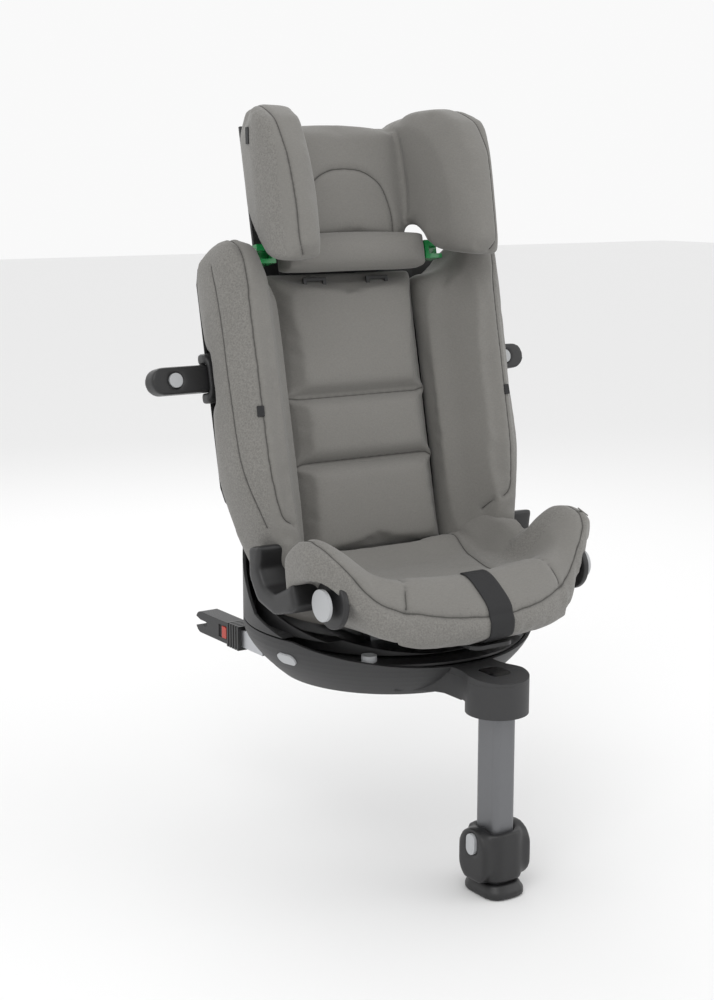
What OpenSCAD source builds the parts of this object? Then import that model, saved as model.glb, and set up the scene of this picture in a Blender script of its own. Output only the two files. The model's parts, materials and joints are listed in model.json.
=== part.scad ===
// Swivelling child car seat on a base with two latch connectors and a load leg.
// Millimetres. Origin: where the swivel axis meets the base's flat underside.
// +Z is up, the seat faces -Y, and the occupant's left is +X.

/* [Base] */
// Outer radius of the base ring
ring_r = 186; // [180:1:192]
// How far the ring draws in from its rim to its underside
ring_taper = 46; // [40:1:52]
// Thickness of the moulded walls
wall = 4; // [3:0.5:4.5]
// Height of the fixed ring at its sides and back
ring_h = 66; // [60:1:68]
// Height of the ring's rim at the very front
rim_front_h = 40; // [34:1:46]
// Slope of the ring's rim towards the back, in degrees
rim_slope = 11; // [8:1:14]
// Height of the deck's top face
deck_z = 50; // [49:0.5:51]
// Radius of the swivel post
post_r = 22; // [18:1:26]
// Diameter of the round deck buttons
deck_button_d = 19; // [17:0.5:19.5]

/* [Load leg] */
// Distance from the swivel axis forward to the leg's pivot
leg_reach = 225; // [222:1:232]
// Radius of the lobe that holds the leg
lobe_r = 38; // [37:1:42]
// Height of the leg's pivot above the underside
pivot_z = 6; // [2:1:8]
// Width of the leg's outer tube, side to side
tube_w = 32; // [28:1:33]
// Depth of the leg's outer tube, front to back
tube_d = 40; // [36:1:40]
// Height of the foot housing's top below the pivot
housing_drop = 156; // [130:1:200]
// Height of the foot housing
housing_h = 62; // [56:1:70]
// Thickness of the foot pad
pad_h = 18; // [14:1:24]
// Travel of the foot as the leg is lengthened
leg_travel = 120; // [80:5:125]

/* [Latch connectors] */
// Distance between the centres of the two connectors
connector_spacing = 280; // [278:1:282]
// Width of a connector
connector_w = 26; // [24:1:28]
// Height of a connector
connector_h = 29; // [27:1:30]
// Distance from the swivel axis back to a connector's tip
connector_reach = 235; // [225:1:250]
// Diameter of the vehicle's anchor bar
bar_d = 6; // [6:0.5:6.5]

/* [Turntable] */
// Outer radius of the turntable's bowl
bowl_r = 152; // [146:1:154]
// Clearance between parts that turn or slide on each other
run_gap = 0.5; // [0.3:0.1:1]
// Radius of the rocker surface that the seat reclines on
rocker_r = 232; // [228:1:234]
// Height of the recline centre above the underside
rocker_z = 300; // [299:1:304]
// Distance from the swivel axis forward to the recline centre
rocker_y = 15; // [5:1:25]

/* [Seat] */
// Distance from the swivel axis forward to the seat's front edge
seat_front = 238; // [232:1:244]
// Radius of the seat's front edge seen from above
seat_round_r = 300; // [280:5:320]
// Half the width of the seat over its arms
seat_half_w = 216; // [208:1:218]
// Height of the seat cushion's top
cushion_top = 142; // [136:1:146]
// Half the width of the seat cushion between the arms
cushion_half_w = 150; // [140:1:150]
// Height of the arms' tops
arm_top = 214; // [200:1:220]
// Width of the strap over the front edge
strap_w = 36; // [30:1:50]

/* [Backrest] */
// Lean of the backrest from upright, in degrees
back_angle = 12; // [10:1:15]
// Length of the back cushion along the backrest
back_len = 360; // [340:5:370]
// Half the width of the back cushion
back_half_w = 113; // [108:1:114]
// Thickness of the back cushion
back_thick = 24; // [18:1:26]
// Half the width over the side bolsters
bolster_half_w = 208; // [204:1:212]
// How far the bolsters stand forward of the back cushion
bolster_deep = 79; // [70:1:84]
// Length of the bolsters' top above the backrest's foot
bolster_len = 397; // [385:1:400]

/* [Headrest] */
// Height of the headrest's top along the backrest
head_top = 557; // [540:1:580]
// Half the width over the headrest's wings
head_half_w = 168; // [160:1:170]
// How far the wings stand forward
wing_deep = 147; // [130:1:150]
// Travel of the headrest upwards
head_travel = 160; // [100:5:160]

/* [Side pods] */
// Length of a side pod past its hinge
pod_len = 76; // [60:1:80]
// Height of a side pod
pod_h = 34; // [28:1:38]
// Thickness of a side pod
pod_t = 24; // [20:1:25]

/* [Hidden] */
$fn = 96;

charcoal = "#4a4a4c";
near_black = "#222224";
steel = "#b4b6ba";
tube_grey = "#808286";
pale_grey = "#d2d3d6";
fabric_grey = "#8b8984";
heather = "#7d7b76";
green = "#2fa35a";
red = "#c43a2c";

far = 400;

// Flat underside and ring
ring_turn_h = 60;
ring_curve = 1.6;
ring_in = ring_r - wall;
deck_r = ring_in - 6.8;

// Lobe and the fillets that blend it into the ring
fillet_r = 60;
neck_r = ring_r - ring_taper + 8;
fillet_y = ((neck_r + fillet_r) ^ 2 - (lobe_r + fillet_r) ^ 2 + leg_reach ^ 2) / (2 * leg_reach);
fillet_x = sqrt((neck_r + fillet_r) ^ 2 - fillet_y ^ 2);
neck_inner = [fillet_x * 0.86, neck_r * 0.81];
lobe_low = -6;
neck_low = 7;
lobe_split = 34;
cap_top = rim_front_h + 2;

// Load leg
tube_wall = 2;
tube_corner = 8;
pin_r = 5;
pin_gap = 0.05;
leg_slot_half = tube_w / 2 + 1.5;
housing_w = 47;
housing_d = 60;
cap_half = 36;
cap_d = 54;
housing_top = pivot_z - housing_drop;
housing_low = housing_top - housing_h;
foot_gap = 1.5;
pad_top = housing_low - foot_gap;
pad_w = 56;
pad_l = 70;
trough_half = cap_half + 4;
trough_top = pivot_z + 18;
slot_top = pivot_z + tube_d / 2 + 2;
trough_front = -leg_reach + housing_drop - 9;
trough_back = -leg_reach + housing_drop + housing_h + foot_gap + pad_h + 28;
swing_r = 27;

// Latch connectors
connector_x = connector_spacing / 2;
connector_z0 = 13;
connector_mid = connector_z0 + connector_h / 2;
sleeve_y = 118;
sleeve_len = 30;
sleeve_w = connector_w + 4;
sleeve_h = connector_h + 3;
window_gap = 0.7;
arm_w = 20;
arm_h = 22;
bar_y = 73;
bar_depth = 12;
jaw_y = connector_reach - 27;
jaw_r = bar_d / 2 + 0.1;
hook_t = 5.6;
hook_pin_y = jaw_y - 18;
hook_pin_z = connector_mid + 8;
hook_pin_r = 2;

// Deck buttons and side buttons
deck_button_at = 164;
deck_button_turn = 43;
deck_button_h = 11;
side_button_turn = 11.5;
side_button_z = 41;
side_button_tilt = 31;

// Post, turntable and cradle
post_top = 60.4;
plate_z = deck_z + 2;
plate_t = 3;
shelf_z = ring_h + 2;
inner_wall_r = 170;
rail_x = 70;
rail_w = 7;
rail_t = 7;
rail_reach = 68;
lock_x = 118;
lock_r = 6;

// Seat
belly_flat = 100;
belly_round = 64;
belly_half = belly_flat + belly_round;
tray_z = 82;
tray_t = 8;
side_wall_x = 186;
side_wall_t = 4;
deck_plate_z = 122;
arm_in = cushion_half_w + 0.5;
skirt_in = side_wall_x + side_wall_t + 7.5;
swivel_y = -146;
swivel_z = 134;
swivel_r = 19;
bezel_r = 28;
guide_in = 166;
lever_z = 70.5;
lever_t = 5;

// Backrest frame: y runs rearwards square to the backrest, z runs up along it
back_y = 27;
back_z = 150;
shell_y = 68;

// Side pods, in the backrest frame
pod_x = 211;
pod_y = 22;
pod_z = 232;
knuckle_r = 13;

// ---------- shared shapes ----------

module on_back() {
    translate([0, back_y, back_z]) rotate([-back_angle, 0, 0]) children();
}

// Shapes are drawn on the occupant's left, and mirrored for the right
module on_side(s) {
    if (s > 0) children();
    else mirror([1, 0, 0]) children();
}

// A side outline of (y, z) points, given a thickness from x0 to x1
module across(x0, x1) {
    translate([x0, 0, 0]) rotate([90, 0, 90]) linear_extrude(x1 - x0) children();
}

// A front outline of (x, z) points, given a depth from y0 to y1
module through(y0, y1) {
    translate([0, y1, 0]) rotate([90, 0, 0]) linear_extrude(y1 - y0) children();
}

module rounded_rect(w, d, r) {
    square([w - 2 * r, d], center = true);
    square([w, d - 2 * r], center = true);
    for (x = [-1, 1], y = [-1, 1]) {
        translate([x * (w / 2 - r), y * (d / 2 - r)]) circle(r = r);
    }
}

// Obround with its long side along y
module obround(w, l) {
    square([w, l - w], center = true);
    for (y = [-1, 1]) {
        translate([0, y * (l - w) / 2]) circle(d = w);
    }
}

// Everything above a plane that passes (y, z) and rises by angle towards the back
module above_plane(y, z, angle) {
    translate([0, y, z]) rotate([angle, 0, 0]) translate([-far, -far, 0]) cube([2 * far, 2 * far, far]);
}

// Half section of the dished base, straight above turn_h and drawing in below it
module dish_section(r, turn_h, h) {
    steps = 8;
    polygon(concat(
        [[0, 0]],
        [for (i = [0:steps]) [r - ring_taper * (1 - i / steps) ^ ring_curve, turn_h * i / steps]],
        [[r, h], [0, h]]
    ));
}

// The dish's radius at a height below its turn
function dish_r(z) = ring_r - ring_taper * (1 - z / ring_turn_h) ^ ring_curve;

module dish() {
    rotate_extrude($fn = 180) dish_section(ring_r, ring_turn_h, ring_h);
}

// Ring and lobe seen from above, with concave fillets between them
module neck_outline() {
    difference() {
        polygon([[-fillet_x, -fillet_y], [0, -leg_reach], [fillet_x, -fillet_y], [neck_inner.x,
            -neck_inner.y],
            [-neck_inner.x, -neck_inner.y]]);
        for (s = [-1, 1]) {
            translate([s * fillet_x, -fillet_y]) circle(r = fillet_r);
        }
    }
}

module lobe_outline() {
    translate([0, -leg_reach]) circle(r = lobe_r);
    neck_outline();
}

// ---------- base ----------

module leg_space() {
    translate([-leg_slot_half, -leg_reach, lobe_low - 1]) {
        cube([2 * leg_slot_half, leg_reach + trough_front + 1, slot_top - lobe_low + 1]);
    }
    translate([-leg_slot_half, -leg_reach, pivot_z]) rotate([0, 90, 0]) {
        cylinder(r = swing_r, h = 2 * leg_slot_half);
    }
    translate([-leg_slot_half, -leg_reach - swing_r, lobe_low - 1]) {
        cube([2 * leg_slot_half, 2 * swing_r, pivot_z - lobe_low + 1]);
    }
    translate([-trough_half, trough_front, -1]) {
        cube([2 * trough_half, trough_back - trough_front, trough_top + 1]);
    }
}

module screw_places() {
    for (s = [-1, 1], place = [[120, -45], [76, -106], [100, 8]]) {
        translate([s * place[0], place[1], 0]) children();
    }
}

module base_shell() {
    color(charcoal) difference() {
        union() {
            difference() {
                dish();
                translate([0, 0, wall]) rotate_extrude($fn = 180) {
                    dish_section(ring_in, ring_turn_h - wall, ring_h);
                }
                above_plane(-ring_r, rim_front_h, rim_slope);
            }
            // Lobe, kept outside the ring
            difference() {
                union() {
                    translate([0, -leg_reach, lobe_low]) cylinder(r = lobe_r, h = lobe_split - lobe_low);
                    translate([0, 0, neck_low]) linear_extrude(lobe_split - neck_low) neck_outline();
                }
                translate([0, 0, wall]) rotate_extrude($fn = 180) {
                    dish_section(ring_in, ring_turn_h - wall, ring_h);
                }
            }
            // Walls of the leg's trough
            translate([-trough_half - 3, trough_front - 3, 0]) {
                cube([2 * trough_half + 6, trough_back - trough_front + 6, trough_top + 3]);
            }
            translate([-leg_slot_half - 3, -ring_in, 0]) {
                cube([2 * leg_slot_half + 6, ring_in + trough_front, slot_top + 3]);
            }
            intersection() {
                dish();
                union() {
                    // Ribs that carry the connectors
                    for (s = [-1, 1], o = [-8, 8]) {
                        translate([s * connector_x + o - 2, 0, 0]) cube([4, 60, connector_z0 - 2]);
                    }
                    // Screw posts
                    screw_places() cylinder(r = 8, h = deck_z - plate_t);
                }
            }
        }
        leg_space();
        // Sockets for the leg's pin
        translate([0, -leg_reach, pivot_z]) rotate([0, 90, 0]) cylinder(r = pin_r, h = 62, center = true);
        // Windows for the connectors
        for (s = [-1, 1]) {
            translate([s * connector_x - sleeve_w / 2 - window_gap, 20,
                connector_mid - sleeve_h / 2 - window_gap]) {
                cube([sleeve_w + 2 * window_gap, far, sleeve_h + 2 * window_gap]);
            }
        }
        // Holes for the side buttons
        for (s = [-1, 1]) {
            side_button_hole(s);
        }
        // Screw recesses
        screw_places() translate([0, 0, -1]) cylinder(r = 5, h = 5);
        screw_places() cylinder(r = 2.2, h = deck_z);
    }
}

module base_deck() {
    color(near_black) difference() {
        rotate_extrude($fn = 180) {
            polygon([[post_r + 6, deck_z - plate_t], [160, deck_z - plate_t], [deck_r, deck_z - 5.5],
                [deck_r, deck_z - 2.5], [160, deck_z], [post_r + 6, deck_z]]);
        }
        for (s = [-1, 1]) {
            deck_button_frame(s) cylinder(d = deck_button_d + 0.8, h = ring_h);
            side_button_hole(s);
        }
        // Twelve lock sockets, a twelfth of a turn apart
        for (a = [0:30:330]) {
            rotate([0, 0, a]) translate([lock_x, 0, 0]) cylinder(r = lock_r + 0.5, h = ring_h);
        }
        screw_places() cylinder(r = 2.2, h = ring_h);
    }
}

module lobe_cap() {
    color(charcoal) difference() {
        translate([0, 0, lobe_split]) linear_extrude(cap_top - lobe_split) lobe_outline();
        rotate_extrude($fn = 180) dish_section(ring_r + 0.3, ring_turn_h, ring_h);
        // Slope down towards the front
        above_plane(-leg_reach, cap_top, 7);
        // Recess for the indicator
        translate([0, -leg_reach + 6, cap_top - 4]) linear_extrude(10) rounded_rect(30, 34, 8);
    }
}

module leg_indicator() {
    color(near_black) difference() {
        translate([0, -leg_reach + 6, cap_top - 4]) linear_extrude(5) rounded_rect(30, 34, 8);
        above_plane(-leg_reach, cap_top - 0.3, 7);
        above_plane(-leg_reach, cap_top - 0.3, 0);
    }
}

module leg_pivot_pin() {
    color(steel) translate([0, -leg_reach, pivot_z]) rotate([0, 90, 0]) cylinder(r = pin_r, h = 62,
        center = true);
}

module swivel_post() {
    color(steel) {
        translate([0, 0, trough_top + 3]) cylinder(r = post_r + 12, h = 4);
        translate([0, 0, trough_top + 7]) cylinder(r = post_r, h = post_top - trough_top - 7);
    }
}

module post_cap() {
    color(steel) {
        translate([0, 0, post_top]) cylinder(r = post_r + 8, h = 3);
        translate([0, 0, post_top + 3]) cylinder(r = 9, h = 3, $fn = 6);
    }
}

module bearing_race() {
    color(steel) difference() {
        translate([0, 0, deck_z]) cylinder(r = 100, h = plate_z - deck_z - 0.2);
        translate([0, 0, deck_z - 1]) cylinder(r = 84, h = 5);
    }
}

module base_screws() {
    color(steel) screw_places() {
        translate([0, 0, 1]) cylinder(r = 4.6, h = 3);
        translate([0, 0, 4]) cylinder(r = 2.2, h = deck_z - 8);
    }
}

module deck_button_frame(s) {
    rotate([0, 0, -90 + s * deck_button_turn]) translate([deck_button_at, 0, 0]) children();
}

module deck_button(s) {
    color(pale_grey) deck_button_frame(s) translate([0, 0, deck_z - 5]) {
        difference() {
            cylinder(d = deck_button_d, h = deck_button_h);
            translate([0, 0, deck_button_h - 0.5]) cylinder(d = deck_button_d - 8, h = 2);
        }
    }
}

module side_button_frame(s) {
    rotate([0, 0, -90 + s * (90 - side_button_turn)]) translate([dish_r(side_button_z), 0, side_button_z]) {
        rotate([0, side_button_tilt, 0]) children();
    }
}

module side_button_hole(s) {
    side_button_frame(s) translate([-6, 0, 0]) rotate([90, 0,
        90]) linear_extrude(20) rotate(90) obround(16.8, 30.8);
}

module side_button(s) {
    color(pale_grey) side_button_frame(s) translate([-3.5, 0, 0]) rotate([90, 0, 90]) {
        linear_extrude(5) rotate(90) obround(16, 30);
    }
}

// ---------- latch connectors ----------

module latch_frame() {
    color(steel) {
        for (s = [-1, 1]) {
            translate([s * connector_x - arm_w / 2, bar_y - 8, connector_mid - arm_h / 2]) {
                cube([arm_w, sleeve_y + sleeve_len + 22 - bar_y + 8, arm_h]);
            }
        }
        translate([-connector_x + arm_w / 2, bar_y, trough_top + 11.5]) {
            cube([connector_spacing - arm_w, bar_depth, connector_mid + arm_h / 2 - trough_top - 11.5]);
        }
    }
}

module hook_outline() {
    translate([hook_pin_y, hook_pin_z]) circle(r = 4);
    translate([hook_pin_y, hook_pin_z - 3.2]) square([33, 6.2]);
    translate([hook_pin_y + 27, connector_mid + jaw_r + 1]) square([6, 7]);
}

module connector(s) {
    tip_r = connector_h / 2;
    color(charcoal) on_side(s) difference() {
        union() {
            across(connector_x - connector_w / 2, connector_x + connector_w / 2) union() {
                translate([sleeve_y + sleeve_len, connector_z0]) {
                    square([connector_reach - tip_r - sleeve_y - sleeve_len, connector_h]);
                }
                translate([connector_reach - tip_r, connector_mid]) circle(r = tip_r);
            }
        }
        // Socket for the steel arm
        translate([connector_x - arm_w / 2, sleeve_y, connector_mid - arm_h / 2]) {
            cube([arm_w, sleeve_len + 22, arm_h]);
        }
        // Jaw, open to the rear
        translate([connector_x, jaw_y, connector_mid]) rotate([0, 90, 0]) {
            cylinder(r = jaw_r, h = connector_w + 2, center = true);
        }
        across(connector_x - connector_w, connector_x + connector_w) {
            polygon([[jaw_y, connector_mid - jaw_r], [jaw_y + 14, connector_mid - jaw_r],
                [connector_reach + 1, connector_mid - 7], [connector_reach + 1, connector_mid + 7],
                [jaw_y + 14, connector_mid + jaw_r], [jaw_y, connector_mid + jaw_r]]);
        }
        // Slot for the hook
        difference() {
            across(connector_x - hook_t / 2 - 0.4, connector_x + hook_t / 2 + 0.4) {
                translate([hook_pin_y - 6, connector_mid - 6]) square([42, 18.4]);
            }
            translate([connector_x, hook_pin_y, hook_pin_z]) rotate([0, 90, 0]) {
                cylinder(r = hook_pin_r, h = connector_w, center = true);
            }
        }
        // Recess for the release slider
        across(connector_x + connector_w / 2 - 2, far) {
            translate([sleeve_y + sleeve_len + 2.5, connector_mid - 8.5]) square([22, 17]);
        }
    }
}

module sleeve(s) {
    color(near_black) on_side(s) difference() {
        union() {
            translate([connector_x - sleeve_w / 2 + 2, sleeve_y, connector_mid - sleeve_h / 2 + 2]) {
                cube([sleeve_w - 4, sleeve_len, sleeve_h - 4]);
            }
            for (i = [0:4]) {
                translate([connector_x - sleeve_w / 2, sleeve_y + i * 6.4, connector_mid - sleeve_h / 2]) {
                    cube([sleeve_w, 4, sleeve_h]);
                }
            }
        }
        translate([connector_x - arm_w / 2, sleeve_y - 1, connector_mid - arm_h / 2]) {
            cube([arm_w, sleeve_len + 2, arm_h]);
        }
    }
}

module hook(s) {
    color(steel) on_side(s) difference() {
        across(connector_x - hook_t / 2, connector_x + hook_t / 2) hook_outline();
        translate([connector_x, hook_pin_y, hook_pin_z]) rotate([0, 90, 0]) {
            cylinder(r = hook_pin_r + pin_gap, h = connector_w, center = true);
        }
    }
}

module release(s) {
    color(red) on_side(s) {
        across(connector_x + connector_w / 2 - 1.6, connector_x + connector_w / 2 + 1) {
            translate([sleeve_y + sleeve_len + 3.3, connector_mid - 7.7]) square([11, 15.4]);
        }
    }
}

// ---------- turntable ----------

module bowl_rim() {
    intersection() {
        above_plane(-93, 66, 13.8);
        above_plane(17, 93, 34.5);
    }
}

module turntable() {
    color(near_black) difference() {
        union() {
            rotate_extrude($fn = 180) {
                // Plate, thick hub and the bowl's low wall
                translate([post_r + pin_gap, plate_z]) square([bowl_r - post_r - pin_gap, plate_t]);
                translate([post_r + pin_gap, plate_z]) square([10, post_top - plate_z - 0.3]);
                translate([bowl_r - wall, plate_z]) square([wall, shelf_z + plate_t - plate_z]);
                // Shelf and the taller inner wall behind
                translate([bowl_r - wall, shelf_z]) square([inner_wall_r - bowl_r + wall, plate_t]);
                translate([inner_wall_r - wall, shelf_z]) square([wall, 100]);
            }
            translate([0, lock_x, plate_z]) cylinder(r = lock_r + 5, h = 12);
        }
        bowl_rim();
        translate([0, lock_x, 0]) cylinder(r = lock_r + 0.05, h = far);
        translate([0, 0, 160]) cylinder(r = far, h = far);
    }
}

module rear_collar() {
    color(charcoal) difference() {
        rotate_extrude($fn = 180) {
            translate([inner_wall_r + 0.02, shelf_z]) square([ring_r - inner_wall_r - 0.02, plate_t]);
            translate([ring_in, shelf_z]) square([wall, 84]);
        }
        intersection() {
            above_plane(-42, shelf_z - 1, 15);
            above_plane(26, 86, 41);
        }
    }
}

module recline_cradle() {
    color(steel) {
        for (s = [-1, 1]) {
            intersection() {
                translate([s * rail_x, -rocker_y, rocker_z]) rotate([0, 90, 0]) difference() {
                    cylinder(r = rocker_r + run_gap + rail_t, h = rail_w, center = true, $fn = 240);
                    cylinder(r = rocker_r + run_gap, h = rail_w + 2, center = true, $fn = 240);
                }
                translate([-far, -rocker_y - rail_reach, 0]) cube([2 * far, 2 * rail_reach, 120]);
            }
            for (y = [-45, 45]) {
                difference() {
                    translate([s * rail_x - rail_w / 2, -rocker_y + y - 8,
                        plate_z + plate_t]) cube([rail_w, 16, 20]);
                    translate([s * rail_x, -rocker_y, rocker_z]) rotate([0, 90, 0]) {
                        cylinder(r = rocker_r + run_gap + rail_t, h = rail_w + 2, center = true, $fn = 240);
                    }
                }
            }
        }
        for (y = [-53, 50]) {
            translate([-rail_x + rail_w / 2, -rocker_y + y, plate_z + plate_t]) {
                cube([2 * rail_x - rail_w, 16, 3]);
            }
        }
    }
}

module lock_pin() {
    color(steel) translate([0, lock_x, deck_z - 2]) {
        cylinder(r = lock_r, h = 17);
        translate([0, 0, 17]) cylinder(r = lock_r + 3, h = 2.5);
    }
}

// ---------- seat ----------

// Rocker-shaped belly: a solid of revolution about the recline axis
module belly(r, half_flat, corner) {
    translate([0, -rocker_y, rocker_z]) rotate([0, 90, 0]) rotate_extrude($fn = 240) intersection() {
        translate([0, -half_flat - corner]) square([r, 2 * (half_flat + corner)]);
        union() {
            translate([0, -half_flat - corner]) square([r - corner, 2 * (half_flat + corner)]);
            translate([0, -half_flat]) square([r, 2 * half_flat]);
            for (s = [-1, 1]) {
                translate([r - corner, s * half_flat]) circle(r = corner);
            }
        }
    }
}

// Seat seen from above, with its front edge at the given distance
module seat_plan(front, half_w) {
    intersection() {
        translate([0, seat_round_r - front]) circle(r = seat_round_r, $fn = 240);
        square([2 * half_w, 2 * far], center = true);
    }
}

module side_wall_outline() {
    polygon([[-196, tray_z], [-196, 118], [-178, 150], [-160, 172], [-118, 176], [-116, tray_z + tray_t],
        [-116, tray_z]]);
}

module seat_shell() {
    color(charcoal) {
        // Belly pan
        difference() {
            intersection() {
                belly(rocker_r, belly_flat, belly_round);
                translate([0, 0, 40]) cylinder(r = inner_wall_r - wall - 5, h = deck_plate_z - 36,
                    $fn = 180);
            }
            intersection() {
                belly(rocker_r - wall, belly_flat, belly_round - wall);
                translate([0, 0, 40]) cylinder(r = inner_wall_r - 2 * wall - 5, h = deck_plate_z - 40,
                    $fn = 180);
            }
            // Open under the seat cushion
            translate([-cushion_half_w, -far, deck_plate_z - 36]) cube([2 * cushion_half_w, far + 20, 60]);
            translate([-far, -far, tray_z + tray_t]) cube([2 * far, far - 116, 60]);
        }
        // Tray under the front of the cushion
        difference() {
            translate([0, 0, tray_z]) linear_extrude(tray_t) {
                seat_plan(198, side_wall_x + 1);
                difference() {
                    seat_plan(225, side_wall_x + 1);
                    square([2 * arm_in + 1, 2 * far], center = true);
                }
            }
            translate([-far, -95, 0]) cube([2 * far, 2 * far, far]);
            belly(rocker_r - 1, belly_flat, belly_round - 1);
        }
        // Side walls that carry the arms
        for (s = [-1, 1]) {
            on_side(s) {
                difference() {
                    intersection() {
                        across(side_wall_x, side_wall_x + side_wall_t) side_wall_outline();
                        linear_extrude(far) seat_plan(seat_front - 6, far);
                    }
                    translate([0, swivel_y, swivel_z]) rotate([0, 90, 0]) cylinder(r = 8, h = far);
                }
                // Swivel button's dish
                intersection() {
                    translate([side_wall_x + side_wall_t, swivel_y, swivel_z]) rotate([0, 90,
                        0]) difference() {
                        cylinder(r = bezel_r, h = 3);
                        translate([0, 0, -1]) cylinder(r = swivel_r + 1, h = 5);
                    }
                    linear_extrude(far) seat_plan(seat_front - 4, far);
                }
            }
        }
        // Webs from the tray up to the belt guides
        for (s = [-1, 1]) {
            on_side(s) translate([belly_half - 8, -116, deck_plate_z - 24]) cube([22, 96, 7.5]);
        }
    }
}

// Side outline of the seat cushion, wrapping under the front edge
module cushion_outline() {
    polygon([[-200, 78], [-222, 78], [-232, 84], [-236.5, 96], [-237, 112], [-231, 126], [-218, 136],
        [-198, cushion_top],
        [10, cushion_top], [10, tray_z + tray_t + 1], [-200, tray_z + tray_t + 1]]);
}

module seat_cushion() {
    color(fabric_grey) {
        intersection() {
            across(-cushion_half_w, cushion_half_w) cushion_outline();
            linear_extrude(far) seat_plan(seat_front, cushion_half_w);
        }
        // Wider behind the arms, up to the belt guides
        translate([-guide_in + 0.5, -100, deck_plate_z + 4.5]) {
            cube([2 * guide_in - 1, 110, cushion_top - deck_plate_z - 4.5]);
        }
    }
}

module front_strap() {
    color(near_black) intersection() {
        across(-strap_w / 2, strap_w / 2) difference() {
            offset(delta = 1.8) cushion_outline();
            offset(delta = 0.3) cushion_outline();
        }
        translate([-far, -far, 75]) cube([2 * far, far - 170, far]);
        // Only the outer face of the front edge
        union() {
            translate([-far, -far, 0]) cube([2 * far, far - 201, far]);
            translate([-far, -far, cushion_top - 2]) cube([2 * far, far, far]);
        }
    }
}

module arm_outline() {
    polygon([[-114, 124], [-104, 152], [-86, 200], [-100, arm_top - 3], [-125, arm_top], [-150,
        arm_top - 4],
        [-176, arm_top - 22], [-198, arm_top - 50], [-214, 132], [-220, 108], [-212, 92], [-190, 92],
            [-180, 116],
        [-165, 132], [-140, 138]]);
}

// The arm's outer skin, arched up over the swivel button
module arm_arch_outline() {
    polygon([[-104, 152], [-86, 200], [-100, arm_top - 3], [-125, arm_top], [-150, arm_top - 4],
        [-176, arm_top - 22], [-198, arm_top - 50], [-214, 132], [-220, 108], [-212, 92], [-197, 100],
            [-185, 122],
        [-172, 137], [-163, 152], [-150, 164], [-136, 165], [-116, 158]]);
}

module arm(s) {
    color(heather) on_side(s) difference() {
        intersection() {
            union() {
                across(arm_in, side_wall_x - 8) arm_outline();
                across(side_wall_x - 8, seat_half_w) arm_arch_outline();
            }
            linear_extrude(far) seat_plan(seat_front, seat_half_w);
        }
        // Room for the shell's side wall, dish and button
        across(side_wall_x - 0.5, skirt_in) {
            translate([-201, 60]) square([99, 117]);
        }
    }
}

module belt_guide_outline() {
    difference() {
        polygon([[-116, 130], [-100, 116], [-62, 106], [-24, 116], [-6, 142], [-4, 176], [-18, 204],
            [-34, 204],
            [-32, 180], [-116, 150]]);
        polygon([[-116, 160], [-92, 146], [-62, 132], [-40, 138], [-28, 156], [-34, 190], [-60, 210],
            [-116, 210]]);
    }
}

module belt_guide(s) {
    color(near_black) on_side(s) difference() {
        across(guide_in, bolster_half_w + 3) belt_guide_outline();
        on_back() translate([-far, -far, 21.5]) cube([2 * far, 2 * far, far]);
        // Stays clear of the arm
        across(guide_in - 1, far) offset(delta = 0.4) arm_outline();
    }
}

module swivel_button(s) {
    color(pale_grey) on_side(s) translate([side_wall_x + side_wall_t + 3, swivel_y, swivel_z]) {
        rotate([0, 90, 0]) {
            cylinder(r = swivel_r, h = 4);
            translate([0, 0, -5]) cylinder(r = 6, h = 5);
        }
    }
}

module recline_lever() {
    color(near_black) {
        translate([0, -192, lever_z]) linear_extrude(lever_t) rounded_rect(60, 56, 12);
        translate([-8, -186, lever_z + lever_t]) cube([16, 18, tray_z - lever_z - lever_t - 0.5]);
    }
}

module back_cushion() {
    color(fabric_grey) on_back() {
        translate([-back_half_w, 0, -3]) cube([2 * back_half_w, back_thick, back_len]);
    }
}

// Bolster seen along the backrest
module bolster_plan() {
    polygon([[back_half_w + 2, back_thick], [back_half_w + 2, 1], [135, -22], [160, 21 - bolster_deep],
        [170, 7 - bolster_deep], [180, -bolster_deep], [191, 3 - bolster_deep], [201, 17 - bolster_deep],
        [bolster_half_w - 1, -40], [bolster_half_w, -15], [bolster_half_w - 2, 12], [198, 35.5],
        [back_half_w + 12, 35.5]]);
}

module bolster_side() {
    polygon([[-80, 42], [-80, bolster_len - 60], [-74, bolster_len - 34], [-60, bolster_len - 12],
        [-38, bolster_len], [-10, bolster_len - 5], [12, bolster_len - 20], [30, bolster_len - 42],
        [36, bolster_len - 70], [36, 62], [20, 34], [-30, 22], [-60, 28]]);
}

module bolster_front() {
    polygon([[back_half_w, -20], [back_half_w, 346], [140, 358], [158, bolster_len - 14], [174,
        bolster_len],
        [196, bolster_len - 2], [bolster_half_w + 2, bolster_len - 30], [bolster_half_w + 2, -20]]);
}

module bolster(s) {
    color(heather) on_side(s) difference() {
        on_back() intersection() {
            linear_extrude(far + 100) bolster_plan();
            across(0, far) bolster_side();
            through(-far, far) bolster_front();
        }
        on_back() pod_pocket(0.5);
    }
}

module back_plan(inset) {
    polygon([[-198 + inset, 36], [-184 + inset, 54 - inset], [-150, 63 - inset], [-90, shell_y - 1 - inset],
        [0, shell_y - inset], [90, shell_y - 1 - inset], [150, 63 - inset], [184 - inset, 54 - inset],
        [198 - inset, 36]]);
}

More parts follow.
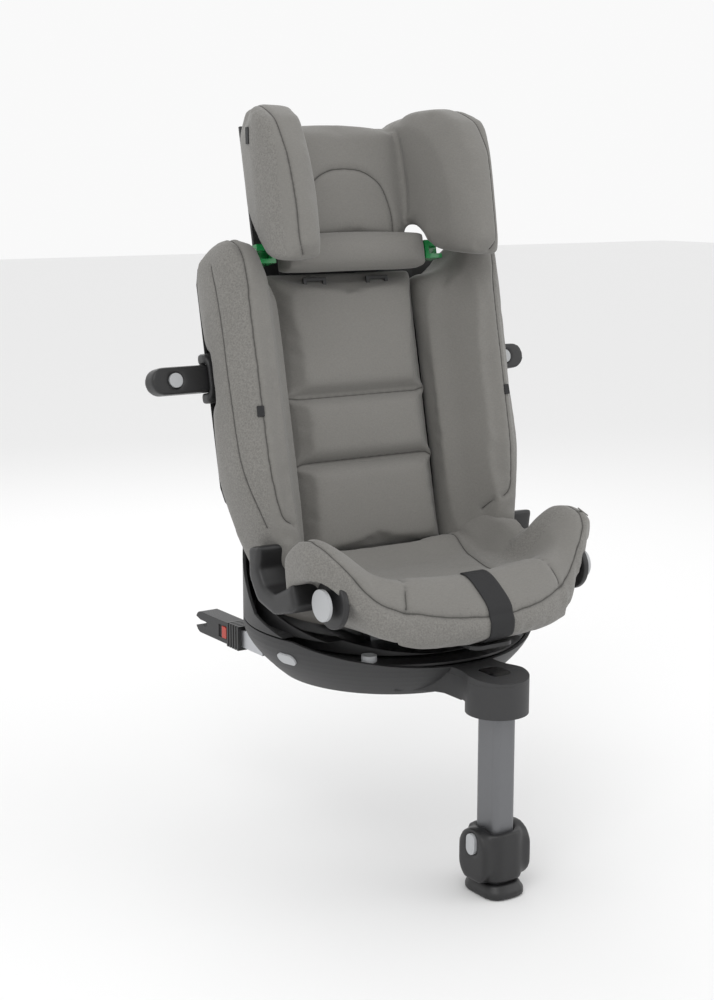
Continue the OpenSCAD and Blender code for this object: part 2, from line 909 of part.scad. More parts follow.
module back_shell() {
    color(charcoal) difference() {
        on_back() intersection() {
            translate([0, 0, -60]) linear_extrude(560) back_plan(0);
            through(-far, far) polygon([[-100, -60], [-122, 0], [-198, 96], [-198, 350], [-176, 384],
                [-100, 396],
                [100, 396], [176, 384], [198, 350], [198, 96], [122, 0], [100, -60]]);
        }
        on_back() translate([0, 0, -70]) linear_extrude(580) back_plan(wall);
        on_back() translate([-far, 0, -far]) cube([2 * far, 36, 2 * far]);
        translate([-far, -far, 0]) cube([2 * far, 2 * far, deck_plate_z + 4]);
    }
}

module harness_slots() {
    color(near_black) on_back() {
        for (s = [-1, 1]) {
            translate([s * 48 - 17, -2.2, 334]) difference() {
                cube([34, 2, 14]);
                translate([5, -1, 4]) cube([24, 4, 6]);
            }
        }
    }
}

// ---------- side pods ----------

module pod_pocket(gap) {
    translate([pod_x - 20 - gap, pod_y - 19 - gap, pod_z - 31 - gap]) {
        cube([40 + 2 * gap, 60 + gap, 62 + 2 * gap]);
    }
}

module pod_bezel(s) {
    color(near_black) on_side(s) on_back() difference() {
        translate([0, 0, pod_z]) intersection() {
            translate([0, 0, -31]) linear_extrude(62) {
                polygon([[pod_x - 20, 3], [pod_x + 1, 3], [pod_x + 3.5, 10], [pod_x + 2, 28],
                    [pod_x - 4, 35.5],
                    [pod_x - 20, 35.5]]);
            }
            translate([pod_x, pod_y, 0]) rotate([90, 0, 90]) linear_extrude(60,
                center = true) obround(38, 62);
        }
        // Cavity that the pod's knuckle turns in
        translate([pod_x, pod_y, pod_z]) cylinder(r = knuckle_r + 0.5, h = pod_h + 1, center = true);
        translate([pod_x, pod_y - knuckle_r - 0.5, pod_z - pod_h / 2 - 0.5]) {
            cube([far, far, pod_h + 1]);
        }
        translate([pod_x - knuckle_r - 0.5, pod_y, pod_z - pod_h / 2 - 0.5]) cube([far, far, pod_h + 1]);
    }
}

module side_pod(s) {
    color(near_black) on_side(s) on_back() difference() {
        translate([pod_x, pod_y, pod_z]) union() {
            cylinder(r = knuckle_r - 1, h = pod_h, center = true);
            rotate([90, 0, 0]) linear_extrude(pod_t, center = true) intersection() {
                translate([0, -pod_h / 2]) square([pod_len, pod_h]);
                union() {
                    translate([0, -pod_h / 2]) square([pod_len - pod_h / 2, pod_h]);
                    translate([pod_len - pod_h / 2, 0]) circle(d = pod_h);
                }
            }
        }
        translate([pod_x + pod_len - 32, pod_y - pod_t / 2 - 1, pod_z]) rotate([-90, 0,
            0]) cylinder(r = 9.3, h = 9);
    }
}

module pod_button(s) {
    color(pale_grey) on_side(s) on_back() translate([pod_x + pod_len - 32, pod_y - pod_t / 2 - 0.5,
        pod_z]) {
        rotate([-90, 0, 0]) cylinder(r = 9, h = 5);
    }
}

// ---------- headrest, in the backrest frame ----------

module wing_plan() {
    polygon([[96, -12], [100, -60], [108, -105], [118, 7 - wing_deep], [132, -wing_deep], [148,
        6 - wing_deep],
        [162, 24 - wing_deep], [head_half_w, 42 - wing_deep], [160, -80], [140, -30], [124, 0], [114,
            26], [96, 26]]);
}

module wing_side() {
    polygon([[-126, head_top - 205], [-143, head_top - 188], [-wing_deep, head_top - 148], [-140,
        head_top - 76],
        [-120, head_top - 32], [-85, head_top - 9], [-40, head_top], [8, head_top - 1], [26, head_top - 16],
        [30, head_top - 130], [0, head_top - 144], [-34, head_top - 162], [-60, head_top - 190]]);
}

module headrest_wing(s) {
    color(heather) on_side(s) on_back() intersection() {
        linear_extrude(far + 300) wing_plan();
        across(0, far) wing_side();
    }
}

module headrest_centre() {
    color(fabric_grey) on_back() intersection() {
        translate([0, 0, head_top - 168]) linear_extrude(160) {
            polygon([[-95.5, -12], [-70, -20], [70, -20], [95.5, -12], [95.5, 26], [-95.5, 26]]);
        }
        across(-far, far) polygon([[-22, head_top - 168], [-22, head_top - 30], [-10, head_top - 10],
            [26, head_top - 8],
            [26, head_top - 168]]);
    }
}

module neck_pad() {
    color(fabric_grey) on_back() intersection() {
        translate([0, 0, head_top - 204]) linear_extrude(34) {
            polygon([[-98, -4], [-98, -38], [-70, -50], [70, -50], [98, -38], [98, -4]]);
        }
        across(-far, far) polygon([[-4, head_top - 203], [-30, head_top - 204], [-46, head_top - 196],
            [-50, head_top - 184], [-44, head_top - 172], [-4, head_top - 170]]);
    }
}

module headrest_shell() {
    color(charcoal) on_back() {
        // Wide back behind the pads
        translate([-114, 27, head_top - 177]) cube([228, 4, 167]);
        // Carriage that slides down behind the back cushion
        translate([-80, 27, 150]) cube([160, 4, head_top - 310]);
        for (s = [-1, 1]) {
            translate([s * 70 - 5, 31, 150]) cube([10, 8, head_top - 190]);
        }
        // Bracket that holds the neck pad
        translate([-80, -4, head_top - 198]) cube([160, 3, 26]);
        translate([-80, -4, head_top - 176]) cube([160, 31, 4]);
    }
}

module headrest_guide(s) {
    color(green) on_side(s) on_back() {
        difference() {
            translate([115, -24, head_top - 192]) cube([26, 22, 24]);
            translate([121, -25, head_top - 186]) cube([21, 12, 10]);
        }
        // Arm that carries it from the headrest's back
        translate([100, -10, head_top - 177]) cube([13.5, 37, 8]);
        translate([113, -10, head_top - 177]) cube([3, 8, 8]);
    }
}

module headrest_lever() {
    color(near_black) on_back() translate([0, 31.5, head_top - 40]) {
        through(0, 9) translate([0, 11]) rounded_rect(54, 24, 8);
    }
}

// ---------- load leg ----------

module leg_tube() {
    color(tube_grey) translate([0, -leg_reach, 0]) difference() {
        translate([0, 0, housing_low + 4]) linear_extrude(pivot_z + 16 - housing_low - 4) {
            rounded_rect(tube_w, tube_d, tube_corner);
        }
        translate([0, 0, housing_low]) linear_extrude(far) {
            rounded_rect(tube_w - 2 * tube_wall, tube_d - 2 * tube_wall, tube_corner - tube_wall);
        }
        translate([0, 0, pivot_z]) rotate([0, 90, 0]) cylinder(r = pin_r + pin_gap, h = 80, center = true);
    }
}

module foot_housing() {
    color(near_black) difference() {
        translate([0, -leg_reach, 0]) union() {
            translate([0, 0, housing_low]) linear_extrude(housing_h) rounded_rect(housing_w, housing_d, 12);
            translate([0, 0, housing_low + housing_h / 2]) rotate([90, 0, 90]) {
                linear_extrude(2 * cap_half, center = true) obround(cap_d, housing_h + 8);
            }
        }
        translate([0, -leg_reach, housing_low + 4]) linear_extrude(far) rounded_rect(tube_w, tube_d,
            tube_corner);
        translate([0, -leg_reach, housing_low - 10]) linear_extrude(20) {
            rounded_rect(tube_w - 2 * tube_wall, tube_d - 2 * tube_wall, tube_corner - tube_wall);
        }
        // Flat underside, above the foot pad
        translate([-far, -far, housing_low - 20]) cube([2 * far, far, 20]);
        foot_button_place(0.3) foot_button_outline(0.3);
    }
}

module foot_button_outline(gap) {
    obround(16 + 2 * gap, 26 + 2 * gap);
}

module foot_button_place(gap) {
    translate([-cap_half - 1, -leg_reach, housing_low + housing_h - 15]) rotate([90, 0, 90]) {
        linear_extrude(8 + gap) children();
    }
}

module foot_button() {
    color(pale_grey) translate([-0.6, 0, 0]) foot_button_place(-2.5) foot_button_outline(0);
}

module inner_tube() {
    inner_w = tube_w - 2 * tube_wall - 2 * run_gap;
    inner_d = tube_d - 2 * tube_wall - 2 * run_gap;
    color(steel) translate([0, -leg_reach, 0]) difference() {
        translate([0, 0, pad_top - 8]) linear_extrude(pivot_z - pin_r - 5 - pad_top + 8) {
            rounded_rect(inner_w, inner_d, tube_corner - tube_wall - run_gap);
        }
        translate([0, 0, pad_top - 9]) linear_extrude(far) {
            rounded_rect(inner_w - 4, inner_d - 4, 3.5);
        }
    }
}

module foot_pad() {
    inner_w = tube_w - 2 * tube_wall - 2 * run_gap;
    inner_d = tube_d - 2 * tube_wall - 2 * run_gap;
    color(near_black) translate([0, -leg_reach, 0]) difference() {
        union() {
            translate([0, 0, pad_top - pad_h]) linear_extrude(pad_h - 7) rounded_rect(pad_w, pad_l, 20);
            translate([0, 0, pad_top - 7]) linear_extrude(7) rounded_rect(pad_w - 8, pad_l - 10, 16);
        }
        translate([0, 0, pad_top - 8]) linear_extrude(20) {
            rounded_rect(inner_w, inner_d, tube_corner - tube_wall - run_gap);
        }
    }
}

// ---------- one line for each node ----------

base_shell();
base_deck();
lobe_cap();
leg_indicator();
leg_pivot_pin();
swivel_post();
post_cap();
bearing_race();
base_screws();
deck_button(1);  // deck_button_left
deck_button(-1);  // deck_button_right
side_button(1);  // side_button_left
side_button(-1);  // side_button_right
latch_frame();
connector(1);  // connector_left
connector(-1);  // connector_right
sleeve(1);  // sleeve_left
sleeve(-1);  // sleeve_right
hook(1);  // hook_left
hook(-1);  // hook_right
release(1);  // release_left
release(-1);  // release_right
turntable();
rear_collar();
recline_cradle();
lock_pin();
seat_shell();
back_shell();
seat_cushion();
arm(1);  // arm_left
arm(-1);  // arm_right
back_cushion();
bolster(1);  // bolster_left
bolster(-1);  // bolster_right
belt_guide(1);  // belt_guide_left
belt_guide(-1);  // belt_guide_right
front_strap();
swivel_button(1);  // swivel_button_left
swivel_button(-1);  // swivel_button_right
recline_lever();
harness_slots();
pod_bezel(1);  // pod_bezel_left
pod_bezel(-1);  // pod_bezel_right
side_pod(1);  // side_pod_left
side_pod(-1);  // side_pod_right
pod_button(1);  // pod_button_left
pod_button(-1);  // pod_button_right
headrest_shell();
headrest_centre();
headrest_wing(1);  // headrest_wing_left
headrest_wing(-1);  // headrest_wing_right
neck_pad();
headrest_guide(1);  // headrest_guide_left
headrest_guide(-1);  // headrest_guide_right
headrest_lever();
leg_tube();
foot_housing();
foot_button();
inner_tube();
foot_pad();
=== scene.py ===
import bpy, bmesh, json, math
import numpy as np
from mathutils import Vector, Matrix
from mathutils.bvhtree import BVHTree


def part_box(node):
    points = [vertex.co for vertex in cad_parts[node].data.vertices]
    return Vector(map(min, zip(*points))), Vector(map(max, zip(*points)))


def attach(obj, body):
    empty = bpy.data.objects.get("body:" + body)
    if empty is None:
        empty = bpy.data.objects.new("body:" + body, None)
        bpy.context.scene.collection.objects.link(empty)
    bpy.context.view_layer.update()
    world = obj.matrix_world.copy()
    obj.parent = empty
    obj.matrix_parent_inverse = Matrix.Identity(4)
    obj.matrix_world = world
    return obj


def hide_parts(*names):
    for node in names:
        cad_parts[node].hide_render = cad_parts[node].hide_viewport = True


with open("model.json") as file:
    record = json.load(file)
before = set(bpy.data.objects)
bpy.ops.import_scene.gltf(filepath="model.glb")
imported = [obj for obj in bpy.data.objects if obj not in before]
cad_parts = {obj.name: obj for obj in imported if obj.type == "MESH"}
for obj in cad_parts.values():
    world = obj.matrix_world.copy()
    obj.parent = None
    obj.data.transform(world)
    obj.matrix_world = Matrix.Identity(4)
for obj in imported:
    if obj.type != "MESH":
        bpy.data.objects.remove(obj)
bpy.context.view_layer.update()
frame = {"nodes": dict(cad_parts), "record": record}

mm = 0.001

# Camera, floor and light

studio = {"eye": (-1.2197, -1.7366, 0.6182), "azimuth": -34.0, "down": 10.8, "lens": 61.2, "sky": 0.95,
    "key": 22, "fill": 7, "rim": 12}
bpy.ops.object.select_all(action="DESELECT")
bpy.ops.object.camera_add(location=studio["eye"],
    rotation=(math.radians(90 - studio["down"]), 0, math.radians(studio["azimuth"])))
shot = bpy.context.object
shot.data.lens = studio["lens"]
bpy.context.scene.camera = shot
bpy.context.scene.view_settings.view_transform = "Standard"

world = bpy.data.worlds.new("softbox")
world.use_nodes = True
world.node_tree.nodes["Background"].inputs[0].default_value = (1, 1, 1, 1)
world.node_tree.nodes["Background"].inputs[1].default_value = studio["sky"]
bpy.context.scene.world = world


def softLight(name, place, aim, size, power):
    bpy.ops.object.light_add(type="AREA", location=place)
    lamp = bpy.context.object
    lamp.name = name
    lamp.data.size = size
    lamp.data.energy = power
    lamp.rotation_euler = (Vector(aim) - Vector(place)).to_track_quat("-Z", "Y").to_euler()


softLight("keyPanel", (-1.6, -1.5, 2.3), (0, 0, 0.35), 1.6, studio["key"])
softLight("fillPanel", (1.9, -1.6, 1.2), (0, 0, 0.3), 1.6, studio["fill"])
softLight("rimPanel", (0.8, 2.0, 1.8), (0, 0, 0.4), 1.4, studio["rim"])


# Finishes

class Wire:
    # one socket, with arithmetic that adds Math nodes
    def __init__(self, finish, socket):
        self.finish, self.socket = finish, socket

    def join(self, operation, other, flip=False):
        pair = (other, self) if flip else (self, other)
        return self.finish.node("ShaderNodeMath", {"operation": operation}, {0: pair[0], 1: pair[1]})

    def __add__(self, other): return self.join("ADD", other)
    def __radd__(self, other): return self.join("ADD", other, True)
    def __sub__(self, other): return self.join("SUBTRACT", other)
    def __rsub__(self, other): return self.join("SUBTRACT", other, True)
    def __mul__(self, other): return self.join("MULTIPLY", other)
    def __rmul__(self, other): return self.join("MULTIPLY", other, True)
    def __gt__(self, other): return self.join("GREATER_THAN", other)
    def __lt__(self, other): return self.join("LESS_THAN", other)
    def __pow__(self, other): return self.join("POWER", other)


class Finish:
    # a material with one Principled shader; fixed holds the shader's constant settings
    def __init__(self, name, color, roughness, **fixed):
        self.material = bpy.data.materials.new(name)
        self.material.use_nodes = True
        self.tree = self.material.node_tree
        self.shader = self.tree.nodes["Principled BSDF"]
        self.shader.inputs["Base Color"].default_value = (*color, 1)
        self.shader.inputs["Roughness"].default_value = roughness
        for key, value in fixed.items():
            self.shader.inputs[key.replace("_", " ")].default_value = value
        self.color = color
        self.place = self.node("ShaderNodeTexCoord", {}, {}, "Object")

    def node(self, kind, settings, inputs, out=0):
        made = self.tree.nodes.new(kind)
        for key, value in settings.items():
            if key == "stops":
                ramp = made.color_ramp
                while len(ramp.elements) < len(value):
                    ramp.elements.new(0.5)
                for element, (position, shade) in zip(ramp.elements, value):
                    element.position, element.color = position, (shade, shade, shade, 1)
            else:
                setattr(made, key, value)
        for key, value in inputs.items():
            if isinstance(value, Wire):
                self.tree.links.new(value.socket, made.inputs[key])
            else:
                made.inputs[key].default_value = value
        return Wire(self, made.outputs[out])

    def stretched(self, scale, turn=(0, 0, 0)):
        return self.node("ShaderNodeMapping", {}, {"Vector": self.place, "Scale": scale, "Rotation": turn})

    def noise(self, scale, detail=3.0, vector=None, rough=0.5):
        return self.node("ShaderNodeTexNoise", {}, {"Vector": vector or self.place, "Scale": scale,
            "Detail": detail, "Roughness": rough})

    def tone(self, factor, dark, light):
        # mixes two tones of the finish's own colour
        low = tuple(c * dark for c in self.color) + (1,)
        high = tuple(min(1, c * light) for c in self.color) + (1,)
        return self.node("ShaderNodeMix", {"data_type": "RGBA"}, {0: factor, 6: low, 7: high}, 2)

    def blendTone(self, factor, first, second):
        return self.node("ShaderNodeMix", {"data_type": "RGBA"}, {0: factor, 6: first, 7: second}, 2)

    def feed(self, name, wire):
        self.tree.links.new(wire.socket, self.shader.inputs[name])

    def bump(self, height, distance, strength=1.0, rounded=0.0):
        inputs = {"Height": height, "Distance": distance, "Strength": strength}
        if rounded:
            inputs["Normal"] = self.node("ShaderNodeBevel", {"samples": 4}, {"Radius": rounded})
        self.feed("Normal", self.node("ShaderNodeBump", {}, inputs))


def ramped(finish, wire, low, high):
    return finish.node("ShaderNodeMapRange", {}, {0: wire, 1: low, 2: high, 3: 0.0, 4: 1.0})


def coverFabric():
    # melange weave: fine on the inner panels, a coarser heather where the piece's outer attribute is 1;
    # painted shade darkens the fabric in the seam grooves
    f = Finish("coverFabric", (0.190, 0.184, 0.171), 0.92, Sheen_Weight=0.15, Sheen_Roughness=0.5)
    outer = f.node("ShaderNodeAttribute", {"attribute_name": "outer"}, {}, "Fac")
    seam = f.node("ShaderNodeAttribute", {"attribute_name": "seam"}, {}, "Fac")
    slubX = f.noise(1.0, 2.0, f.stretched((260, 260, 1500)))
    slubZ = f.noise(1.0, 2.0, f.stretched((1500, 1500, 240)))
    fine = slubX * 0.5 + slubZ * 0.5
    fleck = f.noise(620.0, 2.0)
    tuft = f.node("ShaderNodeTexVoronoi", {}, {"Vector": f.place, "Scale": 420.0})
    coarse = fleck * 0.75 + tuft * 0.35
    cloud = f.noise(9.0, 2.0)
    fineTone = f.tone(ramped(f, fine, 0.3, 0.7), 0.90, 1.10)
    coarseTone = f.tone(ramped(f, coarse, 0.3, 0.72), 0.74, 1.12)
    shade = f.blendTone(outer, fineTone, coarseTone)
    patches = f.node("ShaderNodeValToRGB", {"stops": [(0.3, 0.82), (0.7, 1.0)]}, {0: cloud})
    worn = f.node("ShaderNodeMix", {"data_type": "RGBA", "blend_type": "MULTIPLY"},
        {0: 0.35, 6: shade, 7: patches}, 2)
    # painted shade: the base colour is pulled towards a third of the fabric colour inside the seam grooves
    f.feed("Base Color", f.blendTone(seam * 0.55, worn, tuple(c * 0.35 for c in f.color) + (1,)))
    f.bump(fine * (1 - outer) + coarse * outer, 0.0005, 0.6)
    return f


def webbing():
    f = Finish("elasticBand", (0.009, 0.009, 0.010), 0.7)
    rib = f.node("ShaderNodeTexWave", {"bands_direction": "X"}, {"Vector": f.place, "Scale": 210.0})
    f.feed("Base Color", f.tone(rib, 0.8, 1.3))
    f.bump(rib, 0.0003, 0.6)
    return f


def moulding(name, color, roughness, grain, depth, rounded=0.0012, **fixed):
    # injection moulded plastic with a spark-eroded grain
    f = Finish(name, color, roughness, **fixed)
    pebble = f.noise(grain, 2.0)
    f.feed("Base Color", f.tone(f.noise(14.0, 2.0), 0.88, 1.12))
    f.feed("Roughness", f.noise(grain * 0.5, 2.0) * 0.14 + (roughness - 0.07))
    f.bump(pebble, depth, 0.6, rounded)
    return f


def metal(name, color, roughness, grainScale):
    f = Finish(name, color, roughness, Metallic=1.0)
    streak = f.noise(1.0, 3.0, f.stretched(grainScale))
    f.feed("Base Color", f.tone(streak, 0.85, 1.1))
    f.feed("Roughness", streak * 0.2 + (roughness - 0.1))
    f.bump(streak, 0.0001, 0.4, 0.0008)
    return f


def painted():
    f = Finish("legPaint", (0.155, 0.158, 0.165), 0.38, Metallic=0.55)
    speck = f.noise(1800.0, 2.0)
    f.feed("Base Color", f.tone(speck, 0.85, 1.18))
    f.feed("Roughness", speck * 0.12 + 0.32)
    f.bump(speck, 0.00012, 0.5, 0.001)
    return f


finishes = {
    "fabric": coverFabric(),
    "webbing": webbing(),
    "charcoal": moulding("charcoalMoulding", (0.029, 0.029, 0.030), 0.55, 1500.0, 0.00025),
    "near_black": moulding("blackMoulding", (0.0135, 0.0135, 0.0142), 0.42, 1900.0, 0.00015),
    "pale_grey": moulding("paleKeycap", (0.42, 0.43, 0.44), 0.4, 1200.0, 0.0001),
    "taupe": moulding("taupeMoulding", (0.088, 0.083, 0.075), 0.6, 1500.0, 0.0003),
    "collar": moulding("collarMoulding", (0.030, 0.030, 0.031), 0.5, 1500.0, 0.0002),
    "green": moulding("greenGuide", (0.012, 0.26, 0.065), 0.25, 900.0, 0.0001, Coat_Weight=0.4),
    "red": moulding("redSlider", (0.42, 0.03, 0.015), 0.35, 900.0, 0.0001),
    "indicator": moulding("windowBlack", (0.008, 0.008, 0.009), 0.12, 900.0, 0.00005, Coat_Weight=1.0),
    "steel": metal("zincSteel", (0.52, 0.53, 0.55), 0.36, (30, 900, 900)),
    "tube_grey": painted(),
}
finishes["heather"] = finishes["fabric"]
chosenFor = {"seat_shell": "taupe", "rear_collar": "collar"}
seamThread = Finish("seamThread", (0.075, 0.072, 0.066), 0.85)
seamThread.bump(seamThread.noise(1500.0), 0.0002)
seamThread.feed("Base Color", seamThread.tone(seamThread.noise(900.0), 0.7, 1.3))

slotOf = {part["node"]: part["material_slot"] for part in frame["record"]["subparts"]}
for name, node in frame["nodes"].items():
    chosen = finishes[chosenFor.get(name, slotOf[name])].material
    if not node.data.materials:
        node.data.materials.append(chosen)
    for place in node.material_slots:
        place.material = chosen
print("finishes done")


# Shared making steps

lean = math.radians(12)
backFoot = Vector((0, 0.027, 0.150))


def onBack(x, y, z):
    # millimetres in the backrest's own frame, to metres in the shared frame
    return Vector((x * mm, backFoot.y + (y * math.cos(lean) + z * math.sin(lean)) * mm,
        backFoot.z + (z * math.cos(lean) - y * math.sin(lean)) * mm))


def toBack(points):
    y = (points[:, 1] - backFoot.y) / mm
    z = (points[:, 2] - backFoot.z) / mm
    return np.stack([points[:, 0] / mm, y * math.cos(lean) - z * math.sin(lean),
        y * math.sin(lean) + z * math.cos(lean)], 1)


def fromBack(local):
    y, z = local[:, 1], local[:, 2]
    return np.stack([local[:, 0] * mm, backFoot.y + (y * math.cos(lean) + z * math.sin(lean)) * mm,
        backFoot.z + (z * math.cos(lean) - y * math.sin(lean)) * mm], 1)


def meshOf(name, vertices, faces):
    data = bpy.data.meshes.new(name)
    data.from_pydata([tuple(v) for v in vertices], [], [tuple(f) for f in faces])
    data.update()
    obj = bpy.data.objects.new(name, data)
    bpy.context.collection.objects.link(obj)
    return obj


def only(obj):
    bpy.ops.object.select_all(action="DESELECT")
    obj.select_set(True)
    bpy.context.view_layer.objects.active = obj


def points(obj):
    co = np.zeros(len(obj.data.vertices) * 3)
    obj.data.vertices.foreach_get("co", co)
    return co.reshape(-1, 3)


def setPoints(obj, co):
    obj.data.vertices.foreach_set("co", co.ravel())
    obj.data.update()


def normals(obj):
    out = np.zeros(len(obj.data.vertices) * 3)
    obj.data.vertices.foreach_get("normal", out)
    return out.reshape(-1, 3)


def applied(obj, kind, **settings):
    only(obj)
    modifier = obj.modifiers.new(kind.lower(), kind)
    for key, value in settings.items():
        setattr(modifier, key, value)
    bpy.ops.object.modifier_apply(modifier=modifier.name)


def fromNodes(name, nodeNames):
    # loose copies of CAD nodes, joined and merged into one mesh to start a padded piece from
    build = bmesh.new()
    for nodeName in nodeNames:
        build.from_mesh(frame["nodes"][nodeName].data)
    bmesh.ops.remove_doubles(build, verts=build.verts, dist=1e-6)
    data = bpy.data.meshes.new(name)
    build.to_mesh(data)
    build.free()
    obj = bpy.data.objects.new(name, data)
    bpy.context.collection.objects.link(obj)
    return obj


def softened(obj, voxel, passes, shrink=0.0):
    applied(obj, "REMESH", mode="VOXEL", voxel_size=voxel)
    applied(obj, "SMOOTH", factor=0.5, iterations=passes)
    if shrink:
        setPoints(obj, points(obj) - normals(obj) * shrink)


def puffed(obj, pressure, cap, held=None):
    # swells the pad with cloth pressure; held is how firmly each point stays, from 0 to 1
    before = points(obj)
    only(obj)
    cloth = obj.modifiers.new("fill", "CLOTH")
    s = cloth.settings
    s.quality = 4
    s.mass = 0.3
    s.tension_stiffness = s.compression_stiffness = 12
    s.shear_stiffness = 5
    s.bending_stiffness = 0.6
    s.use_pressure = True
    s.uniform_pressure_force = pressure
    s.effector_weights.gravity = 0
    cloth.collision_settings.use_collision = False
    cloth.point_cache.frame_start, cloth.point_cache.frame_end = 1, 20
    for step in range(1, 21):
        bpy.context.scene.frame_set(step)
    swollen = obj.evaluated_get(bpy.context.evaluated_depsgraph_get())
    after = np.zeros(len(swollen.data.vertices) * 3)
    swollen.data.vertices.foreach_get("co", after)
    move = after.reshape(-1, 3) - before
    obj.modifiers.remove(cloth)
    bpy.context.scene.frame_set(1)
    length = np.linalg.norm(move, axis=1, keepdims=True)
    move *= np.minimum(1, cap / np.maximum(length, 1e-9))
    if held is not None:
        move *= (1 - held)[:, None]
    setPoints(obj, before + move)
    applied(obj, "SMOOTH", factor=0.5, iterations=2)


def curveThrough(stations, step=0.003):
    # Catmull-Rom through the stations, resampled evenly
    p = [np.array(s, float) for s in stations]
    p = [2 * p[0] - p[1]] + p + [2 * p[-1] - p[-2]]
    fine = []
    for a, b, c, d in zip(p, p[1:], p[2:], p[3:]):
        for t in np.linspace(0, 1, 24, endpoint=False):
            fine.append(0.5 * (2 * b + (c - a) * t + (2 * a - 5 * b + 4 * c - d) * t * t
                + (3 * b - a - 3 * c + d) * t ** 3))
    fine.append(p[-2])
    fine = np.array(fine)
    along = np.concatenate([[0], np.cumsum(np.linalg.norm(np.diff(fine, axis=0), axis=1))])
    count = max(int(along[-1] / step), 4)
    return np.stack([np.interp(np.linspace(0, along[-1], count), along, fine[:, i]) for i in range(3)], 1)


def nearest(co, line):
    best = np.full(len(co), 1e9)
    for start in range(0, len(line), 40):
        part = line[start:start + 40]
        best = np.minimum(best, np.sqrt(((co[:, None, :] - part[None]) ** 2).sum(2)).min(1))
    return best


def surfaceOf(obj):
    build = bmesh.new()
    build.from_mesh(obj.data)
    tree = BVHTree.FromBMesh(build)
    build.free()
    return tree


def snapped(obj, line):
    tree = surfaceOf(obj)
    return np.array([list(tree.find_nearest(Vector(p))[0]) for p in line])


def sewn(obj, line, depth, width, body, thread=True):
    # a sewn seam: a groove pressed into the pad, painted shade along the groove kept as a point attribute for
    # the fabric colour, and a thin thread that lies in it
    line = snapped(obj, line)
    co, out = points(obj), normals(obj)
    near = nearest(co, line)
    setPoints(obj, co - out * (depth * np.exp(-(near / width) ** 2))[:, None])
    # painted shade: how strongly the fabric colour darkens along the groove, stored per point
    shadeMark = obj.data.attributes.get("seam") or obj.data.attributes.new("seam", "FLOAT", "POINT")
    old = np.zeros(len(co))
    shadeMark.data.foreach_get("value", old)
    grooveShade = np.exp(-(near / (width * 0.45)) ** 2)
    shadeMark.data.foreach_set("value", np.maximum(old, grooveShade).astype(np.float32))
    if thread:
        run = snapped(obj, line)
        for _ in range(3):
            run[1:-1] = (run[:-2] + 2 * run[1:-1] + run[2:]) / 4
        return tube(obj.name + "Seam", run, 0.0007, body)


def tube(name, line, radius, body, sides=6, finish=None, slotName="fabric"):
    rings, faces = [], []
    for i, p in enumerate(line):
        ahead = line[min(i + 1, len(line) - 1)] - line[max(i - 1, 0)]
        ahead = Vector(ahead).normalized()
        side = ahead.orthogonal().normalized()
        if i:
            side = (lastSide - ahead * lastSide.dot(ahead)).normalized()
        lastSide = side
        up = ahead.cross(side)
        for k in range(sides):
            a = 2 * math.pi * k / sides
            rings.append(Vector(p) + (side * math.cos(a) + up * math.sin(a)) * radius)
    for i in range(len(line) - 1):
        for k in range(sides):
            a, b = i * sides + k, i * sides + (k + 1) % sides
            faces.append((a, b, b + sides, a + sides))
    faces.append(tuple(reversed(range(sides))))
    faces.append(tuple(range((len(line) - 1) * sides, len(line) * sides)))
    obj = meshOf(name, rings, faces)
    obj.data.shade_smooth()
    settle(obj, body, slotName, finish or seamThread)
    return obj


def settle(obj, body, slotName, finish=None):
    obj.data.materials.clear()
    obj.data.materials.append((finish or finishes[slotName]).material)
    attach(obj, body)


def marked(obj, name, values):
    attribute = obj.data.attributes.get(name) or obj.data.attributes.new(name, "FLOAT", "POINT")
    attribute.data.foreach_set("value", np.asarray(values, np.float32))


def stepUp(x, low, high):
    t = np.clip((x - low) / (high - low), 0, 1)
    return t * t * (3 - 2 * t)


# Seat pad: basin, thigh roll and both arms in one cover

seat = {"front": -0.236, "roundR": 0.300, "halfWidth": 0.214, "grid": 0.003, "basin": 0.130, "roll": 0.149,
    "rear": 0.030, "voxel": 0.0045}


def planFront(x):
    return seat["roundR"] + seat["front"] - np.sqrt(seat["roundR"] ** 2 - x ** 2)


def armTop(y):
    return np.interp(y, [-0.225, -0.205, -0.190, -0.172, -0.150, -0.125, -0.104, -0.088, -0.080],
        [0.128, 0.146, 0.172, 0.191, 0.206, 0.212, 0.209, 0.196, 0.170])


def seatTop(x, y):
    ax = np.abs(x)
    basin = seat["basin"] + 0.006 * stepUp(ax, 0.02, 0.11) + 0.020 * stepUp(y, -0.040, 0.028)
    roll = (seat["roll"] - seat["basin"]) * np.exp(-((y + 0.174) / 0.032) ** 2)
    hip = 0.050 * stepUp(ax, 0.112, 0.166) * stepUp(y, -0.125, -0.060)
    base = basin + roll * (1 - stepUp(ax, 0.12, 0.16)) + hip
    edge = np.clip((y - planFront(x)) / 0.052, 0, 1)
    base = base - 0.030 * (1 - np.sqrt(np.clip(1 - (1 - edge) ** 2, 0, 1)))
    rise = stepUp(ax, 0.108, 0.186)
    lead = stepUp(y, -0.225, -0.175)
    arm = np.maximum(armTop(y), base)
    outerFall = 0.012 * stepUp(ax, 0.192, 0.214)
    armZone = rise * stepUp(-y, 0.074, 0.092)
    return base * (1 - armZone) + (arm - outerFall) * armZone


def seatBottom(x, y):
    ax = np.abs(x)
    centre = np.where(y < -0.198, 0.079, 0.092)
    arch = np.interp(y,
        [-0.225, -0.205, -0.197, -0.185, -0.172, -0.163, -0.150, -0.136, -0.108, -0.095, -0.088],
        [0.096, 0.098, 0.103, 0.124, 0.139, 0.156, 0.166, 0.166, 0.154, 0.145, 0.142])
    inner = np.interp(ax, [0.146, 0.162], [0.0, 1.0])
    side = np.minimum(arch, 0.100 + (ax - 0.146) * 1.6)
    behind = stepUp(y, -0.100, -0.086)
    low = centre * (1 - inner) + side * inner
    return low * (1 - behind) + np.where(ax < 0.146, 0.100, 0.1275) * behind


